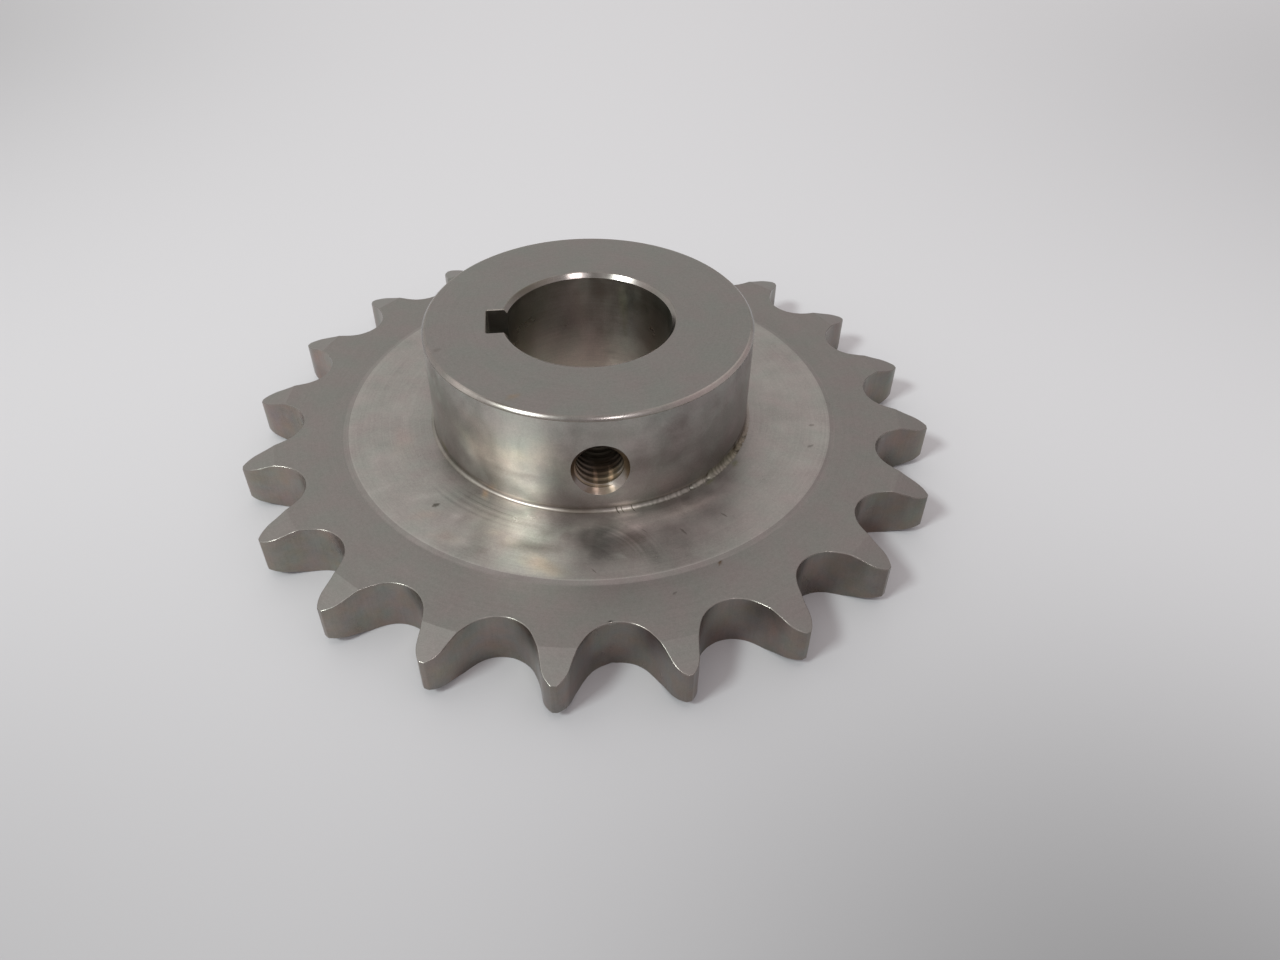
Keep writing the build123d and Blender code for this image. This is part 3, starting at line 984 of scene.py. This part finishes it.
def true_normals():
    """Exact normals where a face lies on a plane, cylinder or cone, so that the shading hides the cuts."""

    def floats(source, key):
        values = np.zeros(len(source) * 3, dtype=np.float32)
        source.foreach_get(key, values)
        return values.reshape(-1, 3)

    vertex = np.zeros(len(me.loops), dtype=np.int32)
    me.loops.foreach_get("vertex_index", vertex)
    corners = [p.loop_total for p in me.polygons]
    p = floats(me.vertices, "co")[vertex] / METRE
    normal = np.repeat(floats(me.polygons, "normal"), corners, axis=0)
    finish = np.repeat(np.array(zones), corners)
    radius = np.hypot(p[:, 0], p[:, 1])
    radial = np.column_stack((p[:, 0] / radius, p[:, 1] / radius, 0 * radius))
    upright = abs(normal[:, 2]) < 0.02
    exact = np.zeros_like(p)  # zero keeps the smooth normal
    on = abs(normal[:, 2]) > 0.9995
    exact[on] = np.sign(normal[on, 2:]) * (0, 0, 1)
    on = (finish == "hub") & upright & (abs(radius - HUB_R) < 0.002)
    exact[on] = radial[on]
    on = (finish == "bore") & upright & (abs(radius - BORE_R) < 0.002)
    exact[on] = -radial[on]
    tilt = atan2(BEVEL_DEPTH, BEVEL_REACH)
    on = (abs(abs(normal[:, 2]) - cos(tilt)) < 0.002) & (radius > BEVEL_R - 0.01)
    exact[on] = radial[on] * sin(tilt) + np.sign(normal[on, 2:]) * (0, 0, cos(tilt))
    for angle in (SIDE_SCREW, KEY_SCREW):
        axis = np.array((*out(angle), 0))
        side = p - (0, 0, SCREW_Z)
        along = side @ axis
        side -= along[:, None] * axis
        on = (finish == "sink") & (along > HOLE_STARTS) & ((side**2).sum(1) > (SCREW_CORE - 0.1) ** 2)
        on &= abs((normal * axis).sum(1) - CONE) < 0.02
        exact[on] = (axis - side[on] / np.linalg.norm(side[on], axis=1)[:, None]) * CONE
    me.normals_split_custom_set([tuple(v) for v in exact.tolist()])


true_normals()

# ---------------------------------------------------------------- camera, fitted to the photograph
CAMERA = Vector((-6.962, -126.823, 105.137)) * METRE
HEADING, DOWN, ROLL = radians(6.807), radians(41.605), radians(0.916)
LENS, SENSOR = 27.527, 36.0
forward = Vector((sin(HEADING) * cos(DOWN), cos(HEADING) * cos(DOWN), -sin(DOWN)))
right = forward.cross(Vector((0, 0, 1))).normalized()
up = right.cross(forward)
right, up = right * cos(ROLL) + up * sin(ROLL), up * cos(ROLL) - right * sin(ROLL)
camera = bpy.data.objects.new("camera", bpy.data.cameras.new("camera"))
bpy.context.scene.collection.objects.link(camera)
camera.matrix_world = Matrix.Translation(CAMERA) @ Matrix((right, up, -forward)).transposed().to_4x4()
camera.data.lens, camera.data.sensor_width, camera.data.sensor_fit = LENS, SENSOR, "HORIZONTAL"
camera.data.clip_start, camera.data.clip_end = 0.005, 20
bpy.context.scene.camera = camera


# ---------------------------------------------------------------- floor and light, in metres
def direction(azimuth, elevation):
    return Vector((*(out(azimuth) * cos(radians(elevation))), sin(radians(elevation))))


def lamp(name, aim, size, power, colour, distance=2.0):
    data = bpy.data.lights.new(name, "AREA")
    data.shape, data.size, data.size_y = "RECTANGLE", *size
    data.energy, data.color = power, colour
    ob = bpy.data.objects.new(name, data)
    ob.location = aim * distance
    ob.rotation_mode = "QUATERNION"
    ob.rotation_quaternion = aim.to_track_quat("Z", "Y")
    bpy.context.scene.collection.objects.link(ob)


lamp("lamp_left", direction(212.5, 46), (0.42, 0.3), 18.7, (0.925, 1.0, 0.955))
lamp("lamp_right", direction(286, 52), (0.3, 0.2), 3.6, (1.0, 0.96, 0.96))

FLOOR_COLOUR = (0.680, 0.683, 0.724)
FLOOR_REACH, FLOOR_Z = 3, -2e-5  # just under the part
TOUCH = 0.0001  # what is nearer than this touches the floor
PAINTED_SHADOW_SPOTS = (  # painted shadow, where the floor is duller in the photograph: middle, size and depth
    ((0.05, -0.12), 0.068, 0.66),
    ((-0.108, -0.136), 0.09, 0.56),
    ((-0.3, 0.2), 0.16, 0.52),
    ((0.3, 0.096), 0.165, 0.3),
)


def floor_paint():
    """Pale paint with painted shadow spots, clear from below and to what touches it, so that the back face
    shows and is lit there.
    """
    paint = bpy.data.materials.new("floor_paint")
    n = Nodes(paint)
    spot = n.make("ShaderNodeTexCoord").outputs["Object"]
    # the floor's brightness, lowered by the painted shadow spots
    painted_light = 1.0
    for centre, size, depth in PAINTED_SHADOW_SPOTS:
        away = n.math("DIVIDE", n.vector("DISTANCE", spot, (*centre, 0)), size)
        dark = n.math("POWER", e, n.math("MULTIPLY", n.math("POWER", away, 2.0), -1.0))
        painted_light = n.math("MULTIPLY", painted_light, n.math("SUBTRACT", 1.0, n.math("MULTIPLY", dark, depth)))
    surface = {"Base Color": n.scaled(FLOOR_COLOUR, painted_light), "Roughness": 0.6}
    painted = n.make("ShaderNodeBsdfPrincipled", surface).outputs[0]
    clear = n.make("ShaderNodeBsdfTransparent").outputs[0]
    touching = n.math("LESS_THAN", n.make("ShaderNodeLightPath").outputs["Ray Length"], TOUCH)
    below = n.math("MAXIMUM", n.make("ShaderNodeNewGeometry").outputs["Backfacing"], touching)
    mix = n.make("ShaderNodeMixShader", {0: below, 1: painted, 2: clear})
    n.make("ShaderNodeOutputMaterial", {"Surface": mix.outputs[0]})
    return paint


corners = [(x * FLOOR_REACH, y * FLOOR_REACH, FLOOR_Z) for x, y in ((-1, -1), (1, -1), (1, 1), (-1, 1))]
floor_mesh = bpy.data.meshes.new("floor")
floor_mesh.from_pydata(corners, [], [(0, 1, 2, 3)])
floor_mesh.materials.append(floor_paint())
floor = bpy.data.objects.new("floor", floor_mesh)
bpy.context.scene.collection.objects.link(floor)


def room():
    """A white room, brighter overhead and to the left, dimmer behind the viewer, pinker to the right."""
    world = bpy.data.worlds.new("room")
    n = Nodes(world)
    sight = n.make("ShaderNodeTexCoord").outputs["Generated"]
    height = n.make("ShaderNodeSeparateXYZ", {0: sight}).outputs["Z"]

    def towards(azimuth, elevation):
        """How far the line of sight points towards a direction: 1 along it, 0 across it, -1 away."""
        return n.vector("DOT_PRODUCT", sight, direction(azimuth, elevation))

    level = n.remap(height, 0.3, 1.0, 0.635, 0.725, "SMOOTHSTEP")
    left = n.math("ADD", 1.0, n.math("MULTIPLY", towards(165, 0), 0.24))
    viewer = n.remap(towards(266, 42), 0.75, 0.97, 1.0, 0.6, "SMOOTHSTEP")
    level = n.math("MULTIPLY", n.math("MULTIPLY", level, left), viewer)
    pinkness = n.remap(towards(320, 0), -0.7, 0.7)
    colour = n.tinted(pinkness, (1.03, 1.0, 0.946), (1.066, 0.965, 0.946))
    background = n.make("ShaderNodeBackground", {"Color": colour, "Strength": level})
    n.make("ShaderNodeOutputWorld", {"Surface": background.outputs[0]})
    return world


bpy.context.scene.world = room()
bpy.context.scene.view_settings.view_transform = "Standard"
